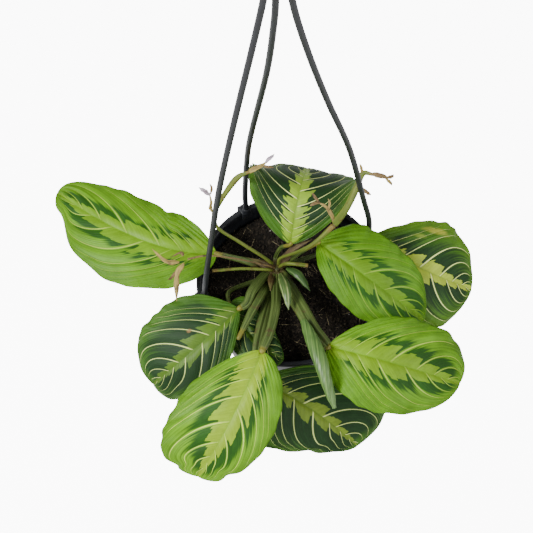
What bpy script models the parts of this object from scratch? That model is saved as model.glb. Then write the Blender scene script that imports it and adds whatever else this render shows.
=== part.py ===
"""Prayer plant in a hanging pot: pot, soil, three-strand hanger, shoots, leaves and flower stalks.

Units are metres, +Z is up.  The origin is the point where the hanger's hook bears on whatever holds it,
so the whole plant hangs below it.  The plant's own dimensions are written in millimetres from the centre
of the pot's rim, because that is where a grower would measure them from.
"""
import math

import bmesh
import bpy
from mathutils import Matrix, Vector

MM = 0.001
GAP = 0.4 * MM                  # clearance between pieces that touch

# driving dimensions
RIM_DROP = 445 * MM             # hook's bearing point down to the pot's rim
RIM_R = 70 * MM                 # outer radius of the rim band
RIM_INNER_R = 65.5 * MM
RIM_BAND = 10 * MM              # height of the rim band
WALL = 1.6 * MM
POT_HEIGHT = 105 * MM
BASE_R = 49 * MM
SOIL_DROP = 15 * MM             # rim down to the soil at the wall
SOIL_CROWN = 2.5 * MM           # how much higher the soil is in the middle
DRAIN_HOLES = 6
DRAIN_R = 3.5 * MM
DRAIN_CIRCLE_R = 30 * MM

HOOK_WIRE_R = 2.6 * MM
HOOK_R = 9 * MM                 # inner radius of the hook
HUB_TOP = -44 * MM
HUB_HEIGHT = 12 * MM
HUB_R = 8 * MM

STRAND_R = 2.0 * MM
STRAND_FOOT_R = 64.5 * MM
STRAND_TOP_R = 4.6 * MM
# direction in degrees, then (distance out from the middle, height above the rim) on the way up, in mm
STRANDS = {
    "back": (117, ((63.5, 35), (54.5, 104), (44.5, 153), (20, 255), (9, 316), (5, 350))),
    "left": (189, ((62, 30), (56, 76), (45, 156), (31, 237), (17, 312), (9, 357))),
    "right": (21, ((64, 40), (58, 80), (45.5, 159), (28.5, 233), (15.5, 296), (7, 348))),
}
CLIP_WIDTH = 8 * MM

LEAF_THICKNESS = 0.6 * MM
LEAF_CUP = 0.12                 # how far the margins hang below the midrib, as a part of the half width
LEAF_LENGTH_STEPS = 14
LEAF_WIDTH_STEPS = 6

CROWN_AT = (-10, 9)
CROWN_R = 6.5 * MM
CROWN_TOP = 6 * MM

RIM_CENTRE = Vector((0, 0, -RIM_DROP))
Z = Vector((0, 0, 1))

LIME = (0.26, 0.45, 0.05)
DARK_GREEN = (0.035, 0.12, 0.03)
STEM_GREEN = (0.20, 0.28, 0.06)
STRAW = (0.42, 0.28, 0.12)
BLACK = (0.022, 0.024, 0.026)

# base, middle and tip of the midrib (mm from the rim's centre), the left and right half as
# (width mm, fullness towards the base, squareness, lean of the veins), tilt in degrees and colour
LEAVES = {
    "leaf_left": ((-53, 13, 24), (-108, 28, 26), (-171, 78, 14),
                  (37, 1.35, 1.6, -0.25), (31, 0.8, 2.75, 0.34), -6, LIME),
    "leaf_top": ((2, 17, 24), (10, 43, 50), (19, 80, 22),
                 (40, 0.9, 3.0, 0.54), (40, 0.9, 2.91, 0.6), 0, DARK_GREEN),
    "leaf_right_upper": ((22, 11, 34), (55, -19, 34), (95, -42, 2),
                         (33, 1.05, 3.0, -0.14), (27, 1.15, 1.67, 0.07), 8, LIME),
    "leaf_right_lower": ((23, -66, 24), (66, -81, 24), (117, -89, -8),
                         (37, 1.07, 3.0, 0.5), (37, 1.15, 1.73, -0.25), 6, LIME),
    "leaf_far_right": ((59, 16, 24), (97, -5, 12), (135, -13, -12),
                       (43, 1.21, 1.88, 0.11), (40, 1.34, 2.92, -0.2), 6, DARK_GREEN),
    "leaf_lower_left": ((-39, -28, 14), (-71, -53, 8), (-106, -69, -20),
                        (32, 1.35, 1.6, 0.33), (39, 0.89, 3.0, 0.25), -14, DARK_GREEN),
    "leaf_front": ((-24, -66, 24), (-46, -107, 14), (-76, -141, -22),
                   (31, 1.11, 2.03, 0.02), (41, 0.87, 3.0, 0.6), -8, LIME),
    "leaf_front_right": ((-28, -81, 8), (7, -99, -10), (41, -119, -44),
                         (39, 1.35, 3.0, 0.6), (44, 0.9, 1.93, -0.6), 12, DARK_GREEN),
    "leaf_under": ((-46, -20, 5), (-28, -49, 4), (-9, -66, 5),
                   (17, 0.88, 3.0, -0.52), (17, 1.0, 2.2, 0.0), 0, DARK_GREEN),
}

# route (mm from the rim's centre), radius in mm at the start, the middle and the end, and colour
STEMS = {
    "petiole_left": (((-18, 9, 0), (-29, 10, 12), (-42, 11, 20), (-52.3, 12.9, 23.7)),
                     (2.6, 2.2, 1.8), STEM_GREEN),
    "petiole_top": (((-9, 18, 0), (-5, 20, 12), (1.6, 16.6, 23)), (2.0, 1.6, 1.3), STEM_GREEN),
    "petiole_right_upper": (((-1, 11, 4), (8, 11, 20), (20.6, 11.2, 33.2)), (2.0, 1.7, 1.4), STEM_GREEN),
    "petiole_far_right": (((-1.5, 14, -6), (27, 19, 2), (45, 20, 14), (58.1, 16.6, 23.4)),
                          (1.8, 1.6, 1.3), STEM_GREEN),
    "petiole_right_lower": (((-5, 1, 0), (5, -28, 13), (14, -52, 21), (22.4, -65.2, 24)),
                            (3.0, 4.5, 1.8), STEM_GREEN),
    "petiole_front": (((-11, 0.5, 1), (-12, -27, 15), (-17, -50, 22), (-23.4, -64.8, 24.2)),
                      (2.2, 3.6, 1.6), STEM_GREEN),
    "petiole_lower_left": (((-18, 4, 1), (-28, -13, 12), (-33, -24, 14), (-38.2, -27.6, 14.4)),
                           (2.0, 2.6, 1.4), STEM_GREEN),
    "petiole_front_right": (((-12.5, 0, -8), (-22, -36, 9), (-28, -61, 13), (-28.3, -80, 8.6)),
                            (2.2, 3.0, 1.6), STEM_GREEN),
    "petiole_under": (((-19, 6, -9), (-36, 0, -7), (-46, -8, 0), (-46.2, -18.2, 4.4)),
                      (1.8, 1.8, 1.4), STEM_GREEN),
    "shoot_low_left": (((-16.5, -0.5, -5), (-22, -15, 8), (-31, -33, 13), (-41, -52, 14)),
                       (1.6, 2.5, 1.6), STEM_GREEN),
    "rolled_leaf": (((7, -45, 24), (16, -79, 33), (24, -112, 22)), (2.0, 4.4, 1.0), LIME),
    "bract_front": (((-7, 0, 8), (-4, -18, 20), (-3, -34, 20)), (1.6, 3.0, 0.5), DARK_GREEN),
    "bract_right": (((-2, 5, 7), (6, -3, 12), (14, -15, 8)), (1.2, 3.0, 0.5), DARK_GREEN),
    "cut_stalk_right": (((-2.4, 8, 9), (4, 6, 12), (14, 4, 12)), (1.2, 1.4, 1.4), STEM_GREEN),
    "cut_stalk_left": (((-18, 5, 8), (-36, 6, 10), (-57, 5, 12)), (1.4, 1.3, 1.3), STEM_GREEN),
    "dry_sheath_right": (((-3, 13, 9), (6, 15, 21), (18, 18, 27)), (1.4, 2.4, 1.0), STRAW),
    "flower_stalk_left": (((-16, 12, 10), (-35, 18, 30), (-50, 23, 46), (-52, 28, 60)),
                          (1.4, 1.6, 1.5), STEM_GREEN),
    "flower_fork_left": (((-50, 30, 62), (-43, 35, 74), (-33, 40, 88), (-24, 41, 94)),
                         (1.4, 1.8, 1.4), STEM_GREEN),
    "flower_branch_left": (((-54, 31, 62), (-53, 34, 66), (-54, 39, 71)), (1.0, 1.3, 0.8), STRAW),
    "flower_stalk_right": (((-6, 11, 13), (6, 6, 32), (18, 6, 44), (33, 13, 57)),
                           (1.4, 1.6, 1.5), STEM_GREEN),
    "flower_fork_right": (((35, 14.5, 59), (43, 20, 71), (50, 29, 82), (55, 36, 89), (62, 33, 92)),
                          (1.5, 2.2, 1.4), STEM_GREEN),
    "flower_branch_right": (((33, 17, 60), (29, 23, 66), (22, 27, 68)), (1.0, 1.4, 1.0), STRAW),
    "dried_stalk": (((-17, 6, 13), (-39, 5, 30), (-59, 5, 38), (-73, 2, 41)), (0.7, 0.7, 0.7), STRAW),
    "dried_bract_1": (((-76, -1, 41), (-81, -9, 39), (-83, -26, 31)), (0.9, 2.0, 0.6), STRAW),
    "dried_bract_2": (((-79, -1, 43), (-88, 0, 44), (-98, 9, 47)), (1.0, 1.9, 0.6), STRAW),
    "dried_bract_3": (((-76, 4, 43), (-78, 8, 40), (-86, 6, 37)), (0.8, 1.6, 0.6), STRAW),
    "flower_left": (((-22.5, 41.5, 94.5), (-17, 43, 97), (-11, 46, 98)), (1.2, 2.0, 0.8), STRAW),
    "flower_right": (((63.5, 32.6, 92.6), (68, 31, 93), (72, 29, 93)), (1.2, 2.0, 1.4), STRAW),
}


def at(point):
    """A point given in millimetres from the centre of the pot's rim, in the plant's frame."""
    return RIM_CENTRE + Vector(point) * MM


def material(name, colour, roughness):
    made = bpy.data.materials.get(name) or bpy.data.materials.new(name)
    made.use_nodes = True
    surface = made.node_tree.nodes["Principled BSDF"]
    surface.inputs["Base Color"].default_value = (*colour, 1.0)
    surface.inputs["Roughness"].default_value = roughness
    surface.inputs["Metallic"].default_value = 0.0
    return made


def keep(obj, name, colour, roughness=0.5):
    """Name the object, give it its material and put it in the plant's collection."""
    obj.name = name
    obj.data.name = name
    obj.data.materials.clear()
    obj.data.materials.append(material(f"{name}_material", colour, roughness))
    for collection in list(obj.users_collection):
        collection.objects.unlink(obj)
    plant.objects.link(obj)
    return obj


def mesh_object(name, edit):
    """A new mesh object whose bmesh is filled by edit(bm)."""
    mesh = bpy.data.meshes.new(name)
    bm = bmesh.new()
    edit(bm)
    bm.to_mesh(mesh)
    bm.free()
    obj = bpy.data.objects.new(name, mesh)
    bpy.context.scene.collection.objects.link(obj)
    return obj


def turned(name, profile, steps, closed=False):
    """A Screw modifier on a profile of (radius, z) pairs that runs top to bottom on its outer side."""
    def draw(bm):
        points = [bm.verts.new((radius, 0, z)) for radius, z in profile]
        for first, second in zip(points, points[1:] + (points[:1] if closed else [])):
            bm.edges.new((first, second))
    obj = mesh_object(name, draw)
    screw = obj.modifiers.new("Screw", "SCREW")
    screw.axis = "Z"
    screw.steps = screw.render_steps = steps
    screw.use_merge_vertices = True
    screw.merge_threshold = 0.00001
    screw.use_smooth_shade = True
    return obj


def smooth_route(points, count):
    """count points along the Catmull-Rom curve through the given ones, evenly spaced in parameter."""
    ends = [points[0] * 2 - points[1], *points, points[-1] * 2 - points[-2]]
    route = []
    for index in range(count):
        along = index / (count - 1) * (len(points) - 1)
        span = min(int(along), len(points) - 2)
        t = along - span
        a, b, c, d = ends[span:span + 4]
        route.append(0.5 * (2 * b + (c - a) * t + (2 * a - 5 * b + 4 * c - d) * t ** 2
                            + (3 * b - a - 3 * c + d) * t ** 3))
    return route


def round_bar(name, route, radius, radii=None):
    """A solid bar of round section along the route; radii scales the radius from point to point."""
    curve = bpy.data.curves.new(name, "CURVE")
    curve.dimensions = "3D"
    curve.bevel_depth = radius
    curve.bevel_resolution = 2
    curve.use_fill_caps = True
    spline = curve.splines.new("POLY")
    spline.points.add(len(route) - 1)
    for index, place in enumerate(route):
        spline.points[index].co = (*place, 1)
        spline.points[index].radius = radii[index] if radii else 1.0
        spline.use_smooth = True
    obj = bpy.data.objects.new(name, curve)
    bpy.context.scene.collection.objects.link(obj)
    return obj


def build_pot():
    """Turned pot with a rim band, a plain flat base and a ring of drain holes."""
    wall_top = -RIM_BAND
    shoulder = RIM_INNER_R + WALL
    profile = [
        (RIM_INNER_R + 1.2 * MM, 0), (RIM_R - 1.2 * MM, 0), (RIM_R, -1.2 * MM),
        (RIM_R - 0.4 * MM, wall_top), (shoulder, wall_top - 1.0 * MM),
        (BASE_R + 1.5 * MM, -POT_HEIGHT + 1.5 * MM), (BASE_R, -POT_HEIGHT), (0, -POT_HEIGHT),
        (0, -POT_HEIGHT + 2 * MM), (BASE_R - WALL, -POT_HEIGHT + 2 * MM),
        (shoulder - WALL, wall_top - 1.5 * MM), (RIM_INNER_R, -1.0 * MM),
    ]
    pot = turned("pot", profile, 44, closed=True)
    pot.location = RIM_CENTRE

    def drill(bm):
        for index in range(DRAIN_HOLES):
            angle = 2 * math.pi * (index + 0.5) / DRAIN_HOLES
            place = Vector((math.cos(angle), math.sin(angle), 0)) * DRAIN_CIRCLE_R - Z * POT_HEIGHT
            bmesh.ops.create_cone(bm, cap_ends=True, segments=12, radius1=DRAIN_R, radius2=DRAIN_R,
                                  depth=12 * MM, matrix=Matrix.Translation(place))
    drills = mesh_object("drain_drills", drill)
    drills.location = RIM_CENTRE
    drills.hide_render = True
    drills.display_type = "WIRE"
    bpy.context.scene.collection.objects.unlink(drills)
    cutters.objects.link(drills)
    cut = pot.modifiers.new("Drain holes", "BOOLEAN")
    cut.operation = "DIFFERENCE"
    cut.object = drills
    keep(pot, "pot", BLACK, 0.42)


def build_soil():
    """The soil fills the pot to a little below its rim and is slightly higher in the middle."""
    gap = GAP + 0.2 * MM
    wall_r = RIM_INNER_R - gap
    top = -SOIL_DROP
    bottom = -POT_HEIGHT + 2 * MM + GAP
    profile = [(0, top + SOIL_CROWN), (wall_r * 0.45, top + 0.7 * SOIL_CROWN), (wall_r * 0.96, top),
               (BASE_R - WALL - gap, bottom), (0, bottom)]
    soil = turned("soil", profile, 36)
    soil.location = RIM_CENTRE
    keep(soil, "soil", (0.03, 0.022, 0.016), 0.95)


def build_hanger():
    """Hook, hub, three strands and the clip by which each strand grips the rim."""
    middle_r = HOOK_R + HOOK_WIRE_R
    centre = Vector((0, 0, -HOOK_R))
    shank = [Vector((0, 0, HUB_TOP + GAP)), Vector((0, 0, HUB_TOP + 6 * MM)),
             Vector((2.5 * MM, 0, centre.z - middle_r - 2.5 * MM))]
    arc = [centre + Vector((math.cos(math.radians(a)), 0, math.sin(math.radians(a)))) * middle_r
           for a in range(-50, 211, 20)]
    hook = round_bar("hanger_hook", shank + arc, HOOK_WIRE_R)
    keep(hook, "hanger_hook", BLACK, 0.45)

    bpy.ops.mesh.primitive_cone_add(vertices=24, radius1=HUB_R, radius2=HUB_R * 0.6, depth=HUB_HEIGHT,
                                    location=(0, 0, HUB_TOP - HUB_HEIGHT / 2))
    keep(bpy.context.object, "hanger_hub", BLACK, 0.45)

    strand_top = HUB_TOP - HUB_HEIGHT - 1.5 * GAP
    clip_top = -RIM_DROP + 3 * MM
    for name, (degrees, bends) in STRANDS.items():
        out = Vector((math.cos(math.radians(degrees)), math.sin(math.radians(degrees)), 0))
        foot = out * STRAND_FOOT_R + Z * (clip_top + GAP)
        top = out * STRAND_TOP_R + Z * strand_top
        way = [out * radius * MM + Z * (height * MM - RIM_DROP) for radius, height in bends]
        strand = round_bar(f"strand_{name}", smooth_route([foot, *way, top], 26), STRAND_R)
        keep(strand, f"strand_{name}", BLACK, 0.45)
        build_clip(name, degrees)


def build_clip(name, degrees):
    """A saddle over the rim: a block with a slot that the rim band sits in."""
    inner, outer = RIM_INNER_R - 3 * MM, RIM_R + 2 * MM
    top, bottom = 3 * MM, -7 * MM

    def block(bm, low_r, high_r, low_z, high_z, width):
        size = Matrix.Diagonal((high_r - low_r, width, high_z - low_z, 1))
        place = Matrix.Translation(((high_r + low_r) / 2, 0, (high_z + low_z) / 2))
        bmesh.ops.create_cube(bm, size=1, matrix=place @ size)

    clip = mesh_object(f"rim_clip_{name}", lambda bm: block(bm, inner, outer, bottom, top, CLIP_WIDTH))
    slot = mesh_object(f"clip_slot_{name}", lambda bm: block(
        bm, RIM_INNER_R - 0.7 * MM, RIM_R + 0.5 * MM, bottom - 5 * MM, GAP, 3 * CLIP_WIDTH))
    for obj in (clip, slot):
        obj.location = RIM_CENTRE
        obj.rotation_euler.z = math.radians(degrees)
    slot.hide_render = True
    slot.display_type = "WIRE"
    bpy.context.scene.collection.objects.unlink(slot)
    cutters.objects.link(slot)
    rounded = clip.modifiers.new("Rounded edges", "BEVEL")
    rounded.width = 0.8 * MM
    rounded.segments = 2
    cut = clip.modifiers.new("Slot", "BOOLEAN")
    cut.operation = "DIFFERENCE"
    cut.object = slot
    keep(clip, f"rim_clip_{name}", BLACK, 0.45)


def build_crown():
    """The short stub of sheathed shoots that every stalk springs from."""
    bottom = -SOIL_DROP + SOIL_CROWN + GAP
    height = CROWN_TOP - bottom
    bpy.ops.mesh.primitive_cone_add(vertices=16, radius1=CROWN_R, radius2=CROWN_R * 0.75, depth=height)
    crown = bpy.context.object
    crown.location = at((*CROWN_AT, 0)) + Z * (bottom + height / 2)
    keep(crown, "crown", (0.16, 0.15, 0.06), 0.7)


def leaf_point(along, across, base, middle, tip, left, right, tilt):
    """A point of the blade: along runs from base to tip, across from -1 (right margin) to 1 (left)."""
    q = (base * (1 - along) * (1 - 2 * along) + middle * 4 * along * (1 - along)
         + tip * along * (2 * along - 1))
    heading = (base * (4 * along - 3) + middle * (4 - 8 * along) + tip * (4 * along - 1)).normalized()
    side = Z.cross(tip - base)
    side = (side - heading * side.dot(heading)).normalized()
    normal = heading.cross(side)
    side = side * math.cos(tilt) + normal * math.sin(tilt)
    normal = heading.cross(side)
    width, fullness, squareness, lean = left if across > 0 else right
    half = width * MM * max(0.0, 1 - abs(2 * along ** fullness - 1) ** squareness) ** 0.5
    half = max(half, 0.8 * MM)
    return q + half * (side * across - normal * LEAF_CUP * across ** 2 + heading * lean * across ** 2)


def build_leaf(name, base, middle, tip, left, right, tilt, colour):
    """A grid bent along its midrib, with each half's outline set by its own width and fullness."""
    bpy.ops.mesh.primitive_grid_add(x_subdivisions=LEAF_LENGTH_STEPS, y_subdivisions=LEAF_WIDTH_STEPS, size=2)
    leaf = bpy.context.object
    for vertex in leaf.data.vertices:
        along = (1 - math.cos(math.pi * (vertex.co.x + 1) / 2)) / 2
        vertex.co = leaf_point(along, vertex.co.y, at(base), at(middle), at(tip), left, right,
                               math.radians(tilt))
    thick = leaf.modifiers.new("Thickness", "SOLIDIFY")
    thick.thickness = LEAF_THICKNESS
    thick.offset = 0
    leaf.data.shade_smooth()
    keep(leaf, name, colour, 0.45)


def build_stem(name, points, radii, colour):
    """A stalk whose thickness runs from the first radius, through the second, to the third."""
    count = 5 + 2 * len(points)
    route = smooth_route([at(point) for point in points], count)
    start, centre, end = radii
    scale = []
    for index in range(count):
        part = 2 * index / (count - 1)
        scale.append(start + (centre - start) * part if part < 1 else centre + (end - centre) * (part - 1))
    stem = round_bar(name, route, MM, scale)
    keep(stem, name, colour, 0.5)


for old in list(bpy.data.objects):
    bpy.data.objects.remove(old, do_unlink=True)
plant = bpy.data.collections.new("hanging_prayer_plant")
cutters = bpy.data.collections.new("cutters")
bpy.context.scene.collection.children.link(plant)
bpy.context.scene.collection.children.link(cutters)

build_pot()
build_soil()
build_hanger()
build_crown()
for leaf_name, leaf_shape in LEAVES.items():
    build_leaf(leaf_name, *leaf_shape)
for stem_name, stem_shape in STEMS.items():
    build_stem(stem_name, *stem_shape)
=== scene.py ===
"""Prayer plant in a hanging pot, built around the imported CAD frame.

Sections follow the object as it is put together: pot, soil, hanger, crown, stalks, leaves, rolled leaf and
bracts, flower stalks, dry remains, and last the floor, the lights and the camera.
"""
import math

import bmesh
import bpy
import numpy as np
from mathutils import Matrix, Vector, noise


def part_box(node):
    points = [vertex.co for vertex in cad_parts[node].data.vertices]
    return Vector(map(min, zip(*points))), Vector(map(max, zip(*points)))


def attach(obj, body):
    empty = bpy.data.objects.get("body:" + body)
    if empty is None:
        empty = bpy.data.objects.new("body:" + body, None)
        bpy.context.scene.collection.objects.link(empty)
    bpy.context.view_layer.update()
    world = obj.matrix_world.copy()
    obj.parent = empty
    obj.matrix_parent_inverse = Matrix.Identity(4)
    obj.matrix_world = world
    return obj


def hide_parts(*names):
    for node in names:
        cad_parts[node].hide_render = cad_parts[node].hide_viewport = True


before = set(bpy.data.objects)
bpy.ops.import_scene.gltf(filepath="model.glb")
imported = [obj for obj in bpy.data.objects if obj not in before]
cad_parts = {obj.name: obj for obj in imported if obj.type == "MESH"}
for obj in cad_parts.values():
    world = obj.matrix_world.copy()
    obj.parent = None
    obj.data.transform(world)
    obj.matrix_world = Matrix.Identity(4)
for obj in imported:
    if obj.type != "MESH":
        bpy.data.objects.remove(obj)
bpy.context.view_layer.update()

# ----------------------------------------------------------------------
# Pot.  A round nursery pot, injection moulded in black polypropylene: a thin tapered wall under a rolled
# rim band, with drain holes in the flat base.  It is a turned profile, finer than the CAD solid it covers.
# ----------------------------------------------------------------------
MM = 0.001
pot_low, pot_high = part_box("pot")
rim_centre = Vector(((pot_low.x + pot_high.x) / 2, (pot_low.y + pot_high.y) / 2, pot_high.z))
rim_radius = (pot_high.x - pot_low.x) / 2
BASE_RADIUS = 49 * MM
RIM_THICKNESS = 4.5 * MM
RIM_BAND = 10 * MM
WALL = 1.6 * MM
FLOOR_THICKNESS = 2 * MM
DRAIN_HOLES = 6
DRAIN_RADIUS = 3.5 * MM
DRAIN_CIRCLE = 30 * MM          # from the pot's middle to the middle of a drain hole


def new_object(name, content):
    """Put a new object with this content in the scene.  A bmesh is written to a mesh first."""
    if isinstance(content, bmesh.types.BMesh):
        mesh = bpy.data.meshes.new(name)
        content.to_mesh(mesh)
        content.free()
        content = mesh
    obj = bpy.data.objects.new(name, content)
    bpy.context.scene.collection.objects.link(obj)
    return obj


def apply_modifiers(obj):
    """Replace the object's mesh by the one its modifiers make, and drop the modifiers."""
    made = bpy.data.meshes.new_from_object(obj.evaluated_get(bpy.context.evaluated_depsgraph_get()))
    obj.modifiers.clear()
    obj.data = made
    return obj


def finish_piece(obj, *nodes, slot, material=None):
    """Give a piece its material, let it ride on the plant's one body and stand for its CAD nodes."""
    if material:
        obj.data.materials.clear()
        obj.data.materials.append(material)
    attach(obj, "root")
    if nodes:
        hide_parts(*nodes)


def plug(tree, socket, value):
    """Link a socket to a wire or another socket, or set its value."""
    value = getattr(value, "socket", value)
    if isinstance(value, bpy.types.NodeSocket):
        tree.links.new(value, socket)
    else:
        socket.default_value = value


def add_node(tree, kind, inputs=None, **settings):
    """A node with its settings and with its inputs, by name or number, set or linked; returns its outputs."""
    made = tree.nodes.new(kind)
    for key, value in settings.items():
        setattr(made, key, value)
    for key, value in (inputs or {}).items():
        plug(tree, made.inputs[key], value)
    return made.outputs


def sign(operation, swapped=False):
    """A sum between a wire and another wire or number, as one Math node."""
    def work_out(self, other=0.0):
        pair = dict(enumerate((other, self) if swapped else (self, other)))
        return Wire(self.tree, add_node(self.tree, "ShaderNodeMath", pair, operation=operation)[0])
    return work_out


class Wire:
    """A node's output that sums can be done on, so that a pattern reads as a formula."""
    __add__, __sub__, __mul__ = sign("ADD"), sign("SUBTRACT"), sign("MULTIPLY")
    __truediv__, __pow__, __abs__ = sign("DIVIDE"), sign("POWER"), sign("ABSOLUTE")
    __rsub__ = sign("SUBTRACT", swapped=True)
    floor, fract = sign("FLOOR"), sign("FRACT")

    def __init__(self, tree, socket):
        self.tree, self.socket = tree, socket


def fade(value, low, high, to_low=0.0, to_high=1.0):
    """Smooth step from to_low to to_high as the value goes from low to high."""
    return Wire(value.tree, add_node(
        value.tree, "ShaderNodeMapRange", dict(enumerate((value, low, high, to_low, to_high))),
        interpolation_type="SMOOTHSTEP")[0])


def mix(factor, first, second, blend_type="MIX"):
    """The second colour over the first by a factor; each may be a wire or a value."""
    tree = next(value.tree for value in (factor, first, second) if isinstance(value, Wire))
    first, second = (value if isinstance(value, Wire) else (*value, 1.0) for value in (first, second))
    return Wire(tree, add_node(tree, "ShaderNodeMix", {"Factor": factor, "A": first, "B": second},
                               data_type="RGBA", blend_type=blend_type)["Result"])


def noise_at(place, scale, detail=2.0, roughness=0.5):
    return Wire(place.tree, add_node(place.tree, "ShaderNodeTexNoise", {
        "Vector": place, "Scale": scale, "Detail": detail, "Roughness": roughness})["Fac"])


def object_place(made):
    return Wire(made.node_tree, add_node(made.node_tree, "ShaderNodeTexCoord")["Object"])


def new_material(name):
    made = bpy.data.materials.new(name)
    made.use_nodes = True
    return made


def painted(made, colour, roughness, specular=0.5, height=None, depth=0.0, strength=1.0):
    """Finish a material with its colour and gloss and, from a height, a fine relief of the given depth."""
    tree = made.node_tree
    surface = tree.nodes["Principled BSDF"]
    plug(tree, surface.inputs["Base Color"], colour)
    plug(tree, surface.inputs["Roughness"], roughness)
    surface.inputs["Specular IOR Level"].default_value = specular
    if height:
        relief = add_node(tree, "ShaderNodeBump", {"Height": height, "Distance": depth, "Strength": strength})
        tree.links.new(relief["Normal"], surface.inputs["Normal"])
    return made


def moulded_plastic(name, colour, worn, roughness):
    """Black moulded plastic: a fine grain, dusty paler patches and small scuffs in its gloss."""
    made = new_material(name)
    place = object_place(made)
    dust = fade(noise_at(place, 45, 4, 0.6), 0.42, 0.75)
    grain = noise_at(place, 2600, 2)
    scuffs = fade(noise_at(place, 320, 5, 0.7), 0.55, 0.72)
    tint = mix(scuffs * 0.25, mix(dust * 0.55, colour, worn), worn)
    gloss = fade(dust + scuffs, 0, 1.6, roughness, roughness + 0.22)
    return painted(made, tint, gloss, 0.32, grain + scuffs, 0.06 * MM, 0.6)


def turned(name, profile, steps, closed=False):
    """A profile of (radius, z) turned about Z; it runs top to bottom on its outer side."""
    mesh = bpy.data.meshes.new(name)
    rows = len(profile)
    edges = [(row, row + 1) for row in range(rows - 1)] + ([(rows - 1, 0)] if closed else [])
    mesh.from_pydata([(radius, 0, z) for radius, z in profile], edges, [])
    obj = new_object(name, mesh)
    screw = obj.modifiers.new("Screw", "SCREW")
    screw.steps = screw.render_steps = steps
    screw.use_merge_vertices = True
    screw.merge_threshold = 0.00001
    screw.use_smooth_shade = True
    return apply_modifiers(obj)


def rounded(corners, radius_steps=4, radius=0.6 * MM):
    """The corner points of a closed profile, each replaced by a short round."""
    out = []
    for before, corner, after in zip(corners[-1:] + corners[:-1], corners, corners[1:] + corners[:1]):
        corner = Vector(corner)
        back, on = Vector(before) - corner, Vector(after) - corner
        if corner.x < 1e-6:
            out.append(tuple(corner))
            continue
        reach = min(radius, back.length * 0.45, on.length * 0.45)
        start, end = corner + back.normalized() * reach, corner + on.normalized() * reach
        for step in range(radius_steps + 1):
            t = step / radius_steps
            out.append(tuple(start * (1 - t) ** 2 + corner * 2 * t * (1 - t) + end * t ** 2))
    return out


def build_pot():
    top = rim_centre.z
    inner = rim_radius - RIM_THICKNESS
    shoulder = inner + WALL
    step = top - RIM_BAND - 22 * MM         # the wall steps in here, so that stacked pots don't jam
    floor = pot_low.z
    corners = [(inner + 1.2 * MM, top), (rim_radius - 1.0 * MM, top), (rim_radius, top - 1.5 * MM),
               (rim_radius, top - 3.4 * MM), (rim_radius - 0.5 * MM, top - 4.0 * MM),
               (rim_radius - 0.5 * MM, top - RIM_BAND), (shoulder, top - RIM_BAND - 1 * MM),
               (shoulder - 4.0 * MM, step), (shoulder - 4.8 * MM, step - 1 * MM),
               (BASE_RADIUS + 1.5 * MM, floor + 1.5 * MM), (BASE_RADIUS, floor), (0, floor),
               (0, floor + FLOOR_THICKNESS), (BASE_RADIUS - WALL, floor + FLOOR_THICKNESS),
               (shoulder - WALL, top - RIM_BAND - 1.5 * MM), (inner, top - 1.2 * MM)]
    pot = turned("nursery_pot", rounded(corners), 128, closed=True)
    bm = bmesh.new()
    for index in range(DRAIN_HOLES):
        angle = 2 * math.pi * (index + 0.5) / DRAIN_HOLES
        place = Vector((math.cos(angle), math.sin(angle), 0)) * DRAIN_CIRCLE + Vector((0, 0, floor))
        bmesh.ops.create_cone(bm, cap_ends=True, segments=32, radius1=DRAIN_RADIUS, radius2=DRAIN_RADIUS,
                              depth=6 * FLOOR_THICKNESS, matrix=Matrix.Translation(place))
    drills = new_object("drills", bm)
    cut = pot.modifiers.new("Drain holes", "BOOLEAN")
    cut.operation = "DIFFERENCE"
    cut.object = drills
    apply_modifiers(pot)
    bpy.data.objects.remove(drills)
    pot.data.set_sharp_from_angle(angle=math.radians(40))
    finish_piece(pot, "pot", slot="pot_plastic", material=moulded_plastic(
        "pot_black", (0.0085, 0.0095, 0.0115), (0.030, 0.033, 0.037), 0.40))


build_pot()

# ----------------------------------------------------------------------
# Soil.  Damp, dark peat with bark crumbs, pale root fibres and white perlite.  The bed is built in rings,
# with an uneven top; each kind of crumb or fibre is scattered over it by a Geometry Nodes tree.
# ----------------------------------------------------------------------
soil_low, soil_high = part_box("soil")
SOIL_DROP = 15 * MM             # from the rim down to the soil
SOIL_MOUND = 2 * MM
soil_radius = soil_high.x - 0.4 * MM


def soil_height(x, y):
    """Uneven top of the bed: a low mound, hollows and small lumps."""
    r = math.hypot(x, y) / soil_radius
    base = rim_centre.z - SOIL_DROP + SOIL_MOUND * max(0.0, 1 - r * r)
    lumps = noise.noise(Vector((x * 55, y * 55, 3))) * 1.6 + noise.noise(Vector((x * 170, y * 170, 9))) * 1.1
    return base + lumps * MM * min(1.0, (1 - r) * 8 + 0.25)


def soil_material():
    made = new_material("soil_peat")
    place = object_place(made)
    coarse, fine = noise_at(place, 160, 6, 0.7), noise_at(place, 900, 4, 0.7)
    damp = mix(fade(coarse, 0.35, 0.7), (0.0042, 0.0036, 0.0029), (0.020, 0.015, 0.010))
    tint = mix(fade(fine, 0.6, 0.8), damp, (0.052, 0.038, 0.024))
    return painted(made, tint, 0.92, 0.2, coarse + fine, 1.2 * MM, 0.9)


def speck_material(name, dark, light):
    made = new_material(name)
    shade = noise_at(object_place(made), 420, 3)
    return painted(made, mix(fade(shade, 0.35, 0.65), dark, light), 0.85, 0.2)


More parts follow.
